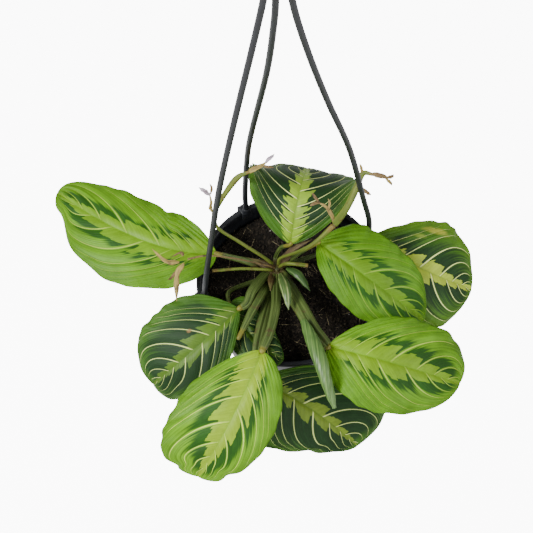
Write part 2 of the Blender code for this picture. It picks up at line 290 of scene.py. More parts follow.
def build_soil_bed():
    rings, spokes = 44, 120
    bm = bmesh.new()
    top = [[bm.verts.new((0, 0, soil_height(0, 0)))]]
    for ring in range(1, rings + 1):
        radius = soil_radius * ring / rings
        top.append([bm.verts.new((radius * math.cos(a), radius * math.sin(a),
                                  soil_height(radius * math.cos(a), radius * math.sin(a))))
                    for a in (2 * math.pi * s / spokes for s in range(spokes))])
    low_radius = BASE_RADIUS - WALL - 0.6 * MM
    top.append([bm.verts.new((low_radius * math.cos(a), low_radius * math.sin(a), soil_low.z))
                for a in (2 * math.pi * s / spokes for s in range(spokes))])
    for inner, outer in zip(top, top[1:]):
        for s in range(spokes):
            after = (s + 1) % spokes
            bm.faces.new([inner[0], outer[s], outer[after]] if len(inner) == 1
                         else [inner[s], outer[s], outer[after], inner[after]])
    bm.faces.new(list(reversed(top[-1])))
    bed = new_object("soil_bed", bm)
    bed.data.shade_smooth()
    finish_piece(bed, "soil", slot="soil", material=soil_material())
    return bed


def scatter_tree(name, values, seed, material):
    """Geometry Nodes: lumps of one kind, of random size and turn, over the upward faces of a surface.  Each
    of the values becomes a named input."""
    tree = bpy.data.node_groups.new(name, "GeometryNodeTree")
    side = tree.interface
    side.new_socket("Surface", in_out="INPUT", socket_type="NodeSocketGeometry")
    for label, value in values.items():
        side.new_socket(label, in_out="INPUT", socket_type="NodeSocketFloat").default_value = value
    side.new_socket("Lumps", in_out="OUTPUT", socket_type="NodeSocketGeometry")

    def put(kind, inputs=None, **settings):
        return add_node(tree, kind, inputs, **settings)

    given = put("NodeGroupInput")
    up = put("ShaderNodeSeparateXYZ", {0: put("GeometryNodeInputNormal")[0]})["Z"]
    upward = put("FunctionNodeCompare", {"A": up, "B": 0.5}, data_type="FLOAT", operation="GREATER_THAN")[0]
    spots = put("GeometryNodeDistributePointsOnFaces", {
        "Mesh": given["Surface"], "Selection": upward, "Density": given["Density"], "Seed": seed})["Points"]
    lump = put("GeometryNodeMeshIcoSphere", {"Radius": 1.0, "Subdivisions": 1})["Mesh"]
    shape = put("ShaderNodeCombineXYZ", {"X": given["Stretch"], "Y": 1.0, "Z": 1.0})[0]
    lump = put("GeometryNodeTransform", {"Geometry": lump, "Scale": shape})[0]
    tilt = given["Tilt"]
    back = put("ShaderNodeMath", {0: tilt, 1: -1.0}, operation="MULTIPLY")[0]
    turn = put("FunctionNodeRandomValue", {
        "Min": put("ShaderNodeCombineXYZ", {"X": back, "Y": back})[0],
        "Max": put("ShaderNodeCombineXYZ", {"X": tilt, "Y": tilt, "Z": 6.28})[0],
        "Seed": seed + 1}, data_type="FLOAT_VECTOR")[0]
    size = put("FunctionNodeRandomValue", {2: given["Smallest"], 3: given["Largest"], "Seed": seed + 2})[1]
    lumps = put("GeometryNodeInstanceOnPoints", {
        "Points": spots, "Instance": lump, "Rotation": turn, "Scale": size})[0]
    lumps = put("GeometryNodeRealizeInstances", {0: lumps})[0]
    lumps = put("GeometryNodeSetMaterial", {"Geometry": lumps, "Material": material})[0]
    put("NodeGroupOutput", {"Lumps": lumps})
    return tree


def grow_from(source, name, tree, values):
    """Run a Geometry Nodes tree on a copy of a mesh and keep the result as a plain mesh object."""
    obj = new_object(name, source.data.copy())
    modifier = obj.modifiers.new(name, "NODES")
    modifier.node_group = tree
    identifiers = {item.name: item.identifier for item in tree.interface.items_tree
                   if getattr(item, "in_out", "") == "INPUT"}
    for label, value in values.items():
        modifier[identifiers[label]] = value
    return apply_modifiers(obj)


soil_bed = build_soil_bed()
crumb = speck_material("soil_crumb", (0.005, 0.0043, 0.0033), (0.036, 0.027, 0.018))
perlite = speck_material("soil_perlite", (0.25, 0.24, 0.21), (0.62, 0.60, 0.56))
fibre = speck_material("soil_fibre", (0.08, 0.062, 0.032), (0.40, 0.33, 0.19))
SCATTER = {
    # name: (material, seed, pieces per square metre, smallest and largest radius, length to width, and how
    # far a piece may tilt, in radians)
    "soil_crumbs": (crumb, 11, 210000, 0.35 * MM, 1.15 * MM, 1.7, 3.14),
    "soil_perlite_grains": (perlite, 23, 1100, 0.25 * MM, 0.6 * MM, 1.1, 3.14),
    "soil_root_fibres": (fibre, 37, 12000, 0.09 * MM, 0.21 * MM, 46.0, 0.16),
    "soil_bark_strips": (crumb, 41, 26000, 0.25 * MM, 0.55 * MM, 7.0, 0.5),
}
for name, (finish, seed, *values) in SCATTER.items():
    values = dict(zip(("Density", "Smallest", "Largest", "Stretch", "Tilt"), values))
    lumps = grow_from(soil_bed, name, scatter_tree(name, values, seed, finish), values)
    finish_piece(lumps, slot="soil")

# ----------------------------------------------------------------------
# Hanger.  Three stiff plastic strands, moulded with a hub and an open hook.  Each ends in a saddle clip
# pressed over the pot's rim.  Strands and hook are round bars swept along smooth curves.
# ----------------------------------------------------------------------
STRAND_RADIUS = 2.0 * MM
STRAND_FOOT = 64.5 * MM         # from the middle out to a strand's lower end
STRAND_TOP = 4.6 * MM           # the same for its upper end
# direction in degrees, then (distance out from the middle, height above the rim) on the way up, in mm
STRANDS = {
    "back": (117, ((63.5, 35), (54.5, 104), (44.5, 153), (20, 255), (9, 316), (5, 350))),
    "left": (189, ((62, 30), (56, 76), (45, 156), (31, 237), (17, 312), (9, 357))),
    "right": (21, ((64, 40), (58, 80), (45.5, 159), (28.5, 233), (15.5, 296), (7, 348))),
}
HOOK_WIRE = 2.6 * MM
HOOK_RADIUS = 9 * MM
CLIP_WIDTH = 8 * MM
strand_plastic = moulded_plastic("hanger_black", (0.009, 0.010, 0.0125), (0.028, 0.031, 0.035), 0.42)


def smooth_route(points, count):
    """count points along the Catmull-Rom curve through the given ones."""
    ends = [points[0] * 2 - points[1], *points, points[-1] * 2 - points[-2]]
    route = []
    for index in range(count):
        place = index / (count - 1) * (len(points) - 1)
        span = min(int(place), len(points) - 2)
        t = place - span
        a, b, c, d = ends[span:span + 4]
        route.append(0.5 * (2 * b + (c - a) * t + (2 * a - 5 * b + 4 * c - d) * t ** 2
                            + (3 * b - a - 3 * c + d) * t ** 3))
    return route


def swept(name, route, outline, sides):
    """A closed body swept along a route.  outline(part, turn) gives the radius at a part of the length and a
    turn about it, where 0.25 faces up.  UV maps: x is part of the length, y the turn."""
    up = Vector((0, 0, 1))
    bm = bmesh.new()
    rows = []
    sideways = None
    for index, place in enumerate(route):
        heading = (route[min(index + 1, len(route) - 1)] - route[max(index - 1, 0)]).normalized()
        if sideways is None:
            sideways = heading.cross(up) if abs(heading.z) < 0.95 else heading.cross(Vector((0, 1, 0)))
        sideways = (sideways - heading * sideways.dot(heading)).normalized()
        raised = sideways.cross(heading)
        part = index / (len(route) - 1)
        row = []
        for side in range(sides):
            turn = side / sides
            flat, radius = outline(part, turn)
            row.append(bm.verts.new(place + radius * (sideways * math.cos(2 * math.pi * turn)
                                                      + raised * math.sin(2 * math.pi * turn) * flat)))
        rows.append(row)
    uv = bm.loops.layers.uv.new("stalk")

    def face(corners, marks):
        made = bm.faces.new(corners)
        made.smooth = True
        for loop, mark in zip(made.loops, marks):
            loop[uv].uv = mark

    for index, (row, after) in enumerate(zip(rows, rows[1:])):
        low, high = index / (len(rows) - 1), (index + 1) / (len(rows) - 1)
        for side in range(sides):
            beside = (side + 1) % sides
            left, right = side / sides, (side + 1) / sides
            face((row[side], row[beside], after[beside], after[side]),
                 ((low, left), (low, right), (high, right), (high, left)))
    for row, part, order in ((rows[0], 0.0, 1), (rows[-1], 1.0, -1)):
        middle = bm.verts.new(sum((vertex.co for vertex in row), Vector()) / sides)
        for side in range(sides):
            pair = (row[(side + 1) % sides], row[side])[::order]
            face((middle, *pair), ((part, 0.5),) * 3)
    bmesh.ops.recalc_face_normals(bm, faces=bm.faces)
    return new_object(name, bm)


def round_end(part, reach):
    """Narrows a bar to a round end within reach, a part of its length, of either end."""
    near = min(part, 1 - part) / reach
    return math.sqrt(max(0.05, 1 - (1 - near) ** 2)) if near < 1 else 1.0


def build_strand(name):
    degrees, bends = STRANDS[name]
    out = Vector((math.cos(math.radians(degrees)), math.sin(math.radians(degrees)), 0))
    low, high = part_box(f"strand_{name}")
    points = [out * STRAND_FOOT + Vector((0, 0, low.z)),
              *(out * radius * MM + Vector((0, 0, height * MM + rim_centre.z)) for radius, height in bends),
              out * STRAND_TOP + Vector((0, 0, high.z))]

    def outline(part, turn):
        seam = 0.03 * max(0.0, math.cos(4 * math.pi * turn)) ** 12
        return 1.0, STRAND_RADIUS * (1 + seam)
    strand = swept(f"hanger_strand_{name}", smooth_route(points, 110), outline, 32)
    finish_piece(strand, f"strand_{name}", slot="hanger_plastic", material=strand_plastic)


def build_hook():
    hub_low, hub_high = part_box("hanger_hub")
    middle = HOOK_RADIUS + HOOK_WIRE
    shank = [Vector((0, 0, hub_high.z - 1 * MM)), Vector((0, 0, hub_high.z + 6 * MM)),
             Vector((2.5 * MM, 0, -HOOK_RADIUS - middle - 2.5 * MM))]
    arc = [Vector((math.cos(math.radians(a)) * middle, 0, math.sin(math.radians(a)) * middle - HOOK_RADIUS))
           for a in range(-50, 211, 20)]
    hook = swept("hanger_hook_wire", smooth_route(shank + arc, 120),
                 lambda part, turn: (1.0, HOOK_WIRE * (round_end(part, 0.03) if part > 0.5 else 1.0)), 32)
    finish_piece(hook, "hanger_hook", slot="hanger_plastic", material=strand_plastic)

    width = hub_high.x
    corners = [(0, hub_high.z), (3.4 * MM, hub_high.z), (width * 0.62, hub_high.z - 1.2 * MM),
               (width * 0.70, hub_high.z - 4 * MM), (width * 0.97, hub_low.z + 3.4 * MM),
               (width, hub_low.z + 1.2 * MM), (width * 0.93, hub_low.z), (0, hub_low.z)]
    hub = turned("hanger_hub_cap", rounded(corners), 64)
    hub.data.set_sharp_from_angle(angle=math.radians(40))
    finish_piece(hub, "hanger_hub", slot="hanger_plastic", material=strand_plastic)


def build_clip(name):
    """A saddle moulded round the strand's foot: an arch over the rim with a boss that the strand enters."""
    degrees = math.radians(STRANDS[name][0])
    inner, outer = rim_radius - RIM_THICKNESS - 3 * MM, rim_radius + 2 * MM
    slot_in, slot_out = rim_radius - RIM_THICKNESS - 0.7 * MM, rim_radius + 0.5 * MM
    top, low, roof = 3 * MM, -7 * MM, 0.4 * MM
    arch = [(inner, low), (inner, 0.4 * top), (inner + 1.5 * MM, top), (outer - 2.5 * MM, top),
            (outer, 0.2 * top), (outer, low), (slot_out, low), (slot_out, roof), (slot_in, roof),
            (slot_in, low)]
    bm = bmesh.new()
    near, far = ([bm.verts.new((x, y, z)) for x, z in arch] for y in (-CLIP_WIDTH / 2, CLIP_WIDTH / 2))
    bm.faces.new(near)
    bm.faces.new(far[::-1])
    for index in range(len(arch)):
        after = (index + 1) % len(arch)
        bm.faces.new((near[index], far[index], far[after], near[after]))
    bmesh.ops.recalc_face_normals(bm, faces=bm.faces)
    place = Matrix.Translation(rim_centre) @ Matrix.Rotation(degrees, 4, "Z")
    bm.transform(place)
    clip = new_object(f"saddle_clip_{name}", bm)
    bevel = clip.modifiers.new("Rounded edges", "BEVEL")
    bevel.width = 0.7 * MM
    bevel.segments = 4
    bevel.limit_method = "ANGLE"
    apply_modifiers(clip)
    clip.data.shade_smooth()
    finish_piece(clip, f"rim_clip_{name}", slot="hanger_plastic", material=strand_plastic)
    corners = [(0, 7 * MM), (2.5 * MM, 7 * MM), (3.5 * MM, 2.4 * MM), (0, 2.4 * MM)]
    boss = turned(f"saddle_boss_{name}", rounded(corners), 40)
    boss.data.transform(place @ Matrix.Translation((STRAND_FOOT, 0, 0)))
    finish_piece(boss, slot="hanger_plastic", material=strand_plastic)


build_hook()
for strand_name in STRANDS:
    build_strand(strand_name)
    build_clip(strand_name)

# ----------------------------------------------------------------------
# Crown and stalks.  Every shoot springs from one crown at the soil.  A maranta's leaf stalk is a ribbed,
# folded sheath for most of its length and ends in a short swollen joint, yellow-brown, below the blade.
# ----------------------------------------------------------------------
CROWN_HEART = (-10, 8, -1)      # mm from the rim's centre, where the shoots meet
NO_JOINT = 1.1                  # an end of the sheath that lies past the end of the stalk


def at(point):
    """A point given in millimetres from the centre of the pot's rim."""
    return rim_centre + Vector(point) * MM


def route_through(points, count):
    return smooth_route([at(point) for point in points], count)


# name: (route in mm from the rim's centre, for a petiole up to its entry into the blade, half widths in mm
# along it, end of the sheath, how flat it is)
STALKS = {
    "petiole_left": (((-18, 9, 0), (-29, 10, 12), (-42, 11, 20), (-52.3, 12.9, 23.7), (-54.5, 13.5, 24.2)),
                     (3.0, 2.7, 2.0, 1.9), 0.72, 0.85),
    "petiole_top": (((-9, 18, 0), (-5, 20, 12), (1.6, 16.6, 23), (3, 18.5, 24.5)),
                    (2.2, 1.7, 1.5), 0.6, 0.9),
    "petiole_right_upper": (((-1, 11, 4), (8, 11, 20), (20.6, 11.2, 33.2), (23, 11, 34.2)),
                            (2.1, 1.8, 1.6), 0.6, 0.9),
    "petiole_far_right": (((-1.5, 14, -6), (27, 19, 2), (45, 20, 14), (58.1, 16.6, 23.4), (60.5, 15.8, 24)),
                          (2.0, 1.8, 1.6, 1.5), 0.75, 0.9),
    "petiole_right_lower": (((-5, 1, 0), (5, -28, 13), (14, -52, 21), (22.4, -65.2, 24),
                             (24.5, -66.5, 24.3)), (4.0, 5.4, 5.0, 1.8), 0.82, 0.66),
    "petiole_front": (((-11, 0.5, 1), (-12, -27, 15), (-17, -50, 22), (-23.4, -64.8, 24.2),
                       (-24.6, -67, 24)), (3.2, 3.5, 3.2, 1.9), 0.78, 0.80),
    "petiole_lower_left": (((-18, 4, 1), (-28, -13, 12), (-33, -24, 14), (-38.2, -27.6, 14.4),
                            (-40.3, -28.8, 14)), (3.0, 3.5, 2.8, 1.5), 0.74, 0.70),
    "petiole_front_right": (((-12.5, 0, -8), (-22, -36, 9), (-28, -61, 13), (-28.3, -80, 8.6),
                             (-27, -81.5, 7.6)), (3.4, 4.0, 3.2, 1.7), 0.8, 0.70),
    "petiole_under": (((-19, 6, -9), (-36, 0, -7), (-46, -8, 0), (-46.2, -18.2, 4.4), (-45.5, -20.5, 5)),
                      (1.8, 1.8, 1.6, 1.4), 0.8, 0.9),
    "shoot_low_left": (((-16.5, -0.5, -5), (-22, -15, 8), (-31, -33, 13), (-41, -52, 14)),
                       (2.8, 3.8, 3.2, 1.8), 0.9, 0.66),
}


def along_list(values, part):
    """The value at a part of the way through a list of evenly spaced ones."""
    place = part * (len(values) - 1)
    span = min(int(place), len(values) - 2)
    t = place - span
    t = t * t * (3 - 2 * t)
    return values[span] * (1 - t) + values[span + 1] * t


def stalk_outline(widths, sheath_end, flatness, ribs=9, seed=0.0):
    """A folded sheath with ribs and a groove where its margins meet, then a plump, smooth joint."""
    def outline(part, turn):
        sheath = 1 - min(1.0, max(0.0, (part - sheath_end) / 0.05))
        width = along_list(widths, part)
        if part > sheath_end:
            swell = math.sin(math.pi * (part - sheath_end) / (1 - sheath_end))
            width = max(width * 0.9, widths[-1] * 0.8) * (1 - 0.1 * sheath) + 0.10 * swell
        rib = 0.05 * math.cos(2 * math.pi * turn * ribs + 2 * part + seed)
        groove = 0.32 * math.exp(-((turn - 0.27 - 0.05 * math.sin(5 * part + seed)) / 0.035) ** 2)
        wave = 0.04 * math.sin(9 * part + 6 * turn + seed)
        flat = flatness + (1 - flatness) * (1 - sheath)
        end = round_end(part, 0.03)
        narrowing = 0.4 + 0.6 * end if part > 0.5 else end
        return flat, width * MM * (1 + sheath * (rib - groove + wave)) * narrowing
    return outline


def uv_parts(made, name):
    """The two coordinates of one of a piece's UV maps."""
    tree = made.node_tree
    parts = add_node(tree, "ShaderNodeSeparateXYZ", {0: add_node(tree, "ShaderNodeUVMap", uv_map=name)[0]})
    return Wire(tree, parts["X"]), Wire(tree, parts["Y"])


def vector(x, y, z=0.0):
    return Wire(x.tree, add_node(x.tree, "ShaderNodeCombineXYZ", {"X": x, "Y": y, "Z": z})[0])


def stalk_material(name, green, pale, brown, brown_to, joint_colour=None, joint_from=1.0, streaks=1.0):
    """Lengthwise fibres, a brown foot, blotches, and on some the joint at the upper end of the stalk."""
    made = new_material(name)
    along, turn = uv_parts(made, "stalk")
    fibres = noise_at(vector(along * 2.5, turn * (26 * streaks)), 1.0, 3, 0.6)
    blotch = noise_at(object_place(made), 130, 4, 0.65)
    colour = mix(fade(fibres, 0.38, 0.66), green, pale)
    colour = mix(fade(blotch, 0.56, 0.70) * 0.75, colour, brown)
    colour = mix(fade(along + fibres * 0.12, brown_to, brown_to + 0.12, 1, 0) * 0.8, colour, brown)
    if joint_colour:
        joint = mix(fade(blotch, 0.45, 0.70, 0.0, 0.5), joint_colour, brown)
        colour = mix(fade(along, joint_from - 0.02, joint_from + 0.03), colour, joint)
    return painted(made, colour, fade(fibres, 0.3, 0.7, 0.36, 0.58), 0.3, fibres, 0.3 * MM, 0.55)


def build_stalk(name, spec, index):
    points, widths, sheath_end, flatness = spec
    # the shoot starts inside the crown, wrapped by its neighbours
    root = Vector(points[0]).lerp(Vector(CROWN_HEART), 0.65)
    stalk = swept(f"{name}_stalk", route_through([root, *points], 90),
                  stalk_outline(widths, sheath_end, flatness, seed=index * 1.7), 48)
    finish_piece(stalk, name, slot="stem", material=stalk_material(
        f"{name}_green", (0.036, 0.060, 0.011), (0.092, 0.132, 0.030), (0.062, 0.038, 0.015),
        0.36 if name == "petiole_left" else 0.16, (0.16, 0.155, 0.020), sheath_end))


def build_crown():
    """The crown's stub, wrapped in the torn brown bases of old sheaths."""
    low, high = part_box("crown")
    middle = (low + high) / 2
    radius = (high.x - low.x) / 2
    tall = high.z - low.z - 3 * MM
    route = [Vector((middle.x, middle.y, low.z + tall * step / 24)) for step in range(25)]

    def outline(part, turn):
        lobes = 0.10 * math.cos(2 * math.pi * turn * 5 + 3 * part) + 0.05 * math.cos(2 * math.pi * turn * 17)
        return 1.0, radius * (1.12 - 0.62 * part) * (1 + lobes) * (0.75 + 0.25 * round_end(part, 0.2))
    crown = swept("crown_stub", route, outline, 72)
    finish_piece(crown, "crown", slot="crown", material=stalk_material(
        "crown_sheaths", (0.055, 0.060, 0.018), (0.10, 0.085, 0.034), (0.045, 0.022, 0.010), 0.6))
    stubs = {
        "old_sheath_left": (((-8, 8, -2), (-17, 9, 7), (-31, 12.5, 14)), (3.6, 3.4, 0.9)),
        "old_sheath_back": (((-8, 9, -2), (-1, 12.5, 9), (9, 15.5, 18)), (2.8, 2.6, 0.5)),
        "old_sheath_right": (((-5, 8, -11), (1, 5, -6), (7, 2, -3)), (2.6, 2.2, 0.7)),
        "old_sheath_front": (((-12, 7, -4), (-14, -3, 6), (-15, -14, 11)), (3.0, 2.6, 0.6)),
    }
    for stub_index, (name, (points, widths)) in enumerate(stubs.items()):
        stub = swept(name, route_through(points, 40),
                     stalk_outline(widths, NO_JOINT, 0.6, ribs=6, seed=stub_index * 2.1), 40)
        finish_piece(stub, slot="crown", material=stalk_material(
            f"{name}_brown", (0.060, 0.056, 0.016), (0.115, 0.092, 0.032), (0.050, 0.029, 0.011), 0.7))


build_crown()
for stalk_index, (stalk_name, stalk_spec) in enumerate(STALKS.items()):
    build_stalk(stalk_name, stalk_spec, stalk_index)

# ----------------------------------------------------------------------
# Leaves.  A thin oval blade with a sunk midrib, arched side veins and quilted stripes between them.  Its
# pattern follows the veins: a jagged lime centre, dark patches, cream veins and fine streaks to the margin.
# ----------------------------------------------------------------------
LEAF_CUP = 0.12                 # how far the margins hang below the midrib, as a part of the half width
BLADE_THICKNESS = 0.5 * MM
QUILT_HEIGHT = 0.85 * MM        # the bulge of the strip between two side veins
VEIN_HEIGHT = 0.16 * MM
MIDRIB_DEPTH = 0.9 * MM
MARGIN_WAVE = 1.3 * MM
MARGIN_RIPPLE = 0.5 * MM
LENGTH_STEPS, WIDTH_STEPS = 170, 64
VEIN_SPREAD = 0.07              # how much closer the veins stand near the ends of a blade

# Looks.  The dark patches start at the edge of the centre band, which lies "band" out from the midrib, as a
# part of the half width; its lobes reach "lobe" further, and it is "foot" wider at the stalk.
LIGHT = dict(ground=(0.092, 0.225, 0.005), margin=(0.060, 0.158, 0.004), patch=(0.012, 0.055, 0.003),
             centre=(0.150, 0.285, 0.007), vein=(0.400, 0.540, 0.075), vein_width=0.044, band=0.145,
             lobe=0.17, foot=0.14)
PLAIN = {**LIGHT, "ground": (0.083, 0.205, 0.004), "centre": (0.125, 0.260, 0.006),
         "vein": (0.330, 0.460, 0.060)}
BRIGHT = {**LIGHT, "ground": (0.100, 0.235, 0.006), "centre": (0.215, 0.340, 0.010),
          "vein": (0.500, 0.640, 0.095), "vein_width": 0.050}
MILD = {**LIGHT, "ground": (0.068, 0.175, 0.004), "centre": (0.100, 0.215, 0.006),
        "vein": (0.240, 0.380, 0.040)}
DARK = dict(ground=(0.034, 0.094, 0.008), margin=(0.070, 0.165, 0.011), patch=(0.008, 0.028, 0.006),
            centre=(0.220, 0.360, 0.026), vein=(0.720, 0.800, 0.280), vein_width=0.046, band=0.055,
            lobe=0.17, foot=0.05)
DULL = {**DARK, "centre": (0.072, 0.142, 0.013), "vein": (0.560, 0.640, 0.210),
        "margin": (0.050, 0.125, 0.009)}
YELLOW = {**DARK, "centre": (0.330, 0.430, 0.030), "ground": (0.042, 0.112, 0.007),
          "margin": (0.095, 0.205, 0.010), "band": 0.05}
OLIVE = {**DULL, "centre": (0.135, 0.205, 0.018), "band": 0.035, "lobe": 0.14}
SHADED = {**DULL, "centre": (0.045, 0.105, 0.010)}

# base, middle and tip of the midrib in mm from the rim's centre; the left and right half as (width mm,
# fullness towards the base, squareness, lean); tilt in degrees; look; veins; and for the dark patches how far
# out they go, how softly they end and how much of a strip they fill
LEAVES = {
    "leaf_left": ((-53, 13, 24), (-108, 28, 26), (-171, 78, 14),
                  (37, 1.35, 1.6, -0.25), (31, 0.8, 2.75, 0.34), -6, PLAIN, 8.2, (0.41, 0.07, 0.92)),
    "leaf_top": ((2, 17, 24), (10, 43, 50), (19, 80, 22),
                 (40, 0.9, 3.0, 0.54), (40, 0.9, 2.91, 0.6), 0, DARK, 8.5, (0.75, 0.50, 1.4)),
    "leaf_right_upper": ((22, 11, 34), (55, -19, 34), (95, -42, 2),
                         (33, 1.05, 3.0, -0.14), (27, 1.15, 1.67, 0.07), 8, MILD, 8.4, (0.47, 0.09, 0.90)),
    "leaf_right_lower": ((23, -66, 24), (66, -81, 24), (117, -89, -8),
                         (37, 1.07, 3.0, 0.5), (37, 1.15, 1.73, -0.25), 6, LIGHT, 8.0, (0.45, 0.11, 0.90)),
    "leaf_far_right": ((59, 16, 24), (97, -5, 12), (135, -13, -12),
                       (43, 1.21, 1.88, 0.11), (40, 1.34, 2.92, -0.2), 6, YELLOW, 8.2, (0.50, 0.40, 1.4)),
    "leaf_lower_left": ((-39, -28, 14), (-71, -53, 8), (-106, -69, -20),
                        (32, 1.35, 1.6, 0.33), (39, 0.89, 3.0, 0.25), -14, DULL, 8.6, (0.70, 0.40, 1.4)),
    "leaf_front": ((-24, -66, 24), (-46, -107, 14), (-76, -141, -22),
                   (31, 1.11, 2.03, 0.02), (41, 0.87, 3.0, 0.6), -8, BRIGHT, 8.3, (0.49, 0.14, 0.92)),
    "leaf_front_right": ((-28, -81, 8), (7, -99, -10), (41, -119, -44),
                         (39, 1.35, 3.0, 0.6), (44, 0.9, 1.93, -0.6), 12, OLIVE, 8.6, (0.80, 0.45, 1.4)),
    "leaf_under": ((-46, -20, 5), (-28, -49, 4), (-9, -66, 5),
                   (17, 0.88, 3.0, -0.52), (17, 1.0, 2.2, 0.0), 0, SHADED, 7.0, (0.8, 0.45, 1.4)),
}


def vein_run(across):
    """How far towards the tip a side vein has run when it is this part of the way to the margin."""
    return 0.26 * across + 0.30 * across ** 2.6


# old bites and dents in the margins: (side, part of the length, its reach, depth as a part of the half width)
DENTS = {
    "leaf_left": ((-1, 0.33, 0.045, 0.12), (1, 0.94, 0.05, 0.35)),
    "leaf_front": ((1, 0.90, 0.03, 0.12), (-1, 0.94, 0.03, 0.22)),
    "leaf_lower_left": ((1, 0.84, 0.08, 0.16),),
    "leaf_front_right": ((-1, 0.85, 0.05, 0.14), (-1, 0.95, 0.02, 0.12)),
    "leaf_right_lower": ((1, 0.10, 0.03, 0.12),),
}


def blade(name, base, middle, tip, left, right, tilt, veins, seed, dents):
    """The blade's points and the two maps that its colours follow.

    The map "blade" holds (part of the length, place across from 0 to 1); "veins" holds the count of side
    veins passed and the distance from the midrib as a part of the half width.
    """
    base, middle, tip = (np.array(at(point)) for point in (base, middle, tip))
    along = (1 - np.cos(np.linspace(0, math.pi, LENGTH_STEPS + 1))) / 2
    spread = np.linspace(-1, 1, WIDTH_STEPS + 1)
    across = np.sign(spread) * np.abs(spread) ** 1.25
    u, v = (grid[..., None] for grid in np.meshgrid(along, across, indexing="ij"))
    centre = base * (1 - u) * (1 - 2 * u) + middle * 4 * u * (1 - u) + tip * u * (2 * u - 1)
    heading = base * (4 * u - 3) + middle * (4 - 8 * u) + tip * (4 * u - 1)
    heading /= np.linalg.norm(heading, axis=-1, keepdims=True)
    side = np.cross((0, 0, 1.0), tip - base)
    side = side - heading * (heading @ side)[..., None]
    side /= np.linalg.norm(side, axis=-1, keepdims=True)
    normal = np.cross(heading, side)
    side = side * math.cos(tilt) + normal * math.sin(tilt)
    normal = np.cross(heading, side)
    half, lean, phase = np.zeros_like(u + v), np.zeros_like(u + v), np.zeros_like(u + v)
    length = np.linalg.norm(middle - base) + np.linalg.norm(tip - middle)
    for on_side, half_shape, start in (((v > 0), left, 0.0), ((v <= 0), right, 0.5)):
        width, fullness, squareness, side_lean = half_shape
        outline = width * MM * np.maximum(0, 1 - np.abs(2 * u ** fullness - 1) ** squareness) ** 0.5
        half = np.where(on_side, np.maximum(outline, 0.8 * MM), half)
        lean = np.where(on_side, side_lean, lean)
        run = vein_run(np.abs(v)) - side_lean * width * MM / length * 0.8 * v * v
        root = u - run
        phase = np.where(on_side, veins * (root + VEIN_SPREAD * np.sin(2 * math.pi * np.clip(root, -0.1, 1)))
                         + start, phase)
    for dent_side, dent_at, reach, depth in dents:
        half = half * np.where(v * dent_side > 0, 1 - depth * np.exp(-((u - dent_at) / reach) ** 2), 1)
    # relief: the midrib lies in a groove, the strips between the fine side veins bulge, the margin waves
    cell = phase - np.floor(phase)
    to_vein = np.minimum(cell, 1 - cell)
    inside = np.clip((1 - np.abs(v)) * 6, 0, 1) * np.clip(half / (12 * MM), 0, 1)
    quilt = QUILT_HEIGHT * np.sin(math.pi * cell) ** 0.8 * inside * np.clip(np.abs(v) * 7, 0, 1)
    groove = -MIDRIB_DEPTH * np.exp(-((v * half) / (1.5 * MM)) ** 2) * np.clip(1.15 - u, 0.2, 1)
    vein_ridge = VEIN_HEIGHT * np.exp(-(to_vein / 0.05) ** 2) * inside
    wave = MARGIN_WAVE * np.abs(v) ** 3 * np.sin(2 * math.pi * (3.3 * u + 0.35 * np.sign(v)) + seed * 2.4)
    wave += MARGIN_RIPPLE * np.abs(v) ** 5 * np.sin(2 * math.pi * 8.7 * u + seed * 5.1 + 2 * v)
    lift = quilt + groove + vein_ridge + wave * np.clip(half / (15 * MM), 0, 1)
    ragged = 1 + 0.012 * np.sin(2 * math.pi * 6.3 * u + seed) * np.abs(v) ** 4
    points = (centre + side * half * v * ragged + heading * half * lean * v * v
              - normal * (LEAF_CUP * half * v * v) + normal * lift)
    mesh = bpy.data.meshes.new(name)
    columns = WIDTH_STEPS + 1
    faces = [(i * columns + j, (i + 1) * columns + j, (i + 1) * columns + j + 1, i * columns + j + 1)
             for i in range(LENGTH_STEPS) for j in range(WIDTH_STEPS)]
    mesh.from_pydata(points.reshape(-1, 3).tolist(), [], faces)
    # a corner on the midrib takes the vein count of its own face's side, so the two sides can be out of step
    maps = {"blade": mesh.uv_layers.new(name="blade"), "veins": mesh.uv_layers.new(name="veins")}
    flat_u, flat_v, flat_phase = (grid.reshape(-1) for grid in (u, v, phase))
    corner = np.array(faces).reshape(-1)
    face_side = np.repeat(np.sign(flat_v[np.array(faces)].mean(axis=1)), 4)
    marks = flat_phase[corner].copy()
    on_midrib = np.abs(flat_v[corner]) < 1e-9
    marks[on_midrib & (face_side > 0)] -= 0.5
    maps["blade"].data.foreach_set("uv", np.stack([flat_u[corner], flat_v[corner] / 2 + 0.5], 1).reshape(-1))
    maps["veins"].data.foreach_set("uv", np.stack([marks, np.abs(flat_v[corner])], 1).reshape(-1))
    mesh.shade_smooth()
    return new_object(name, mesh)


def random_of(number):
    """A random value for each whole number."""
    return Wire(number.tree, add_node(number.tree, "ShaderNodeTexWhiteNoise", {"W": number},
                                      noise_dimensions="1D")["Value"])


def scaled(colour, factor):
    return tuple(part * factor for part in colour)


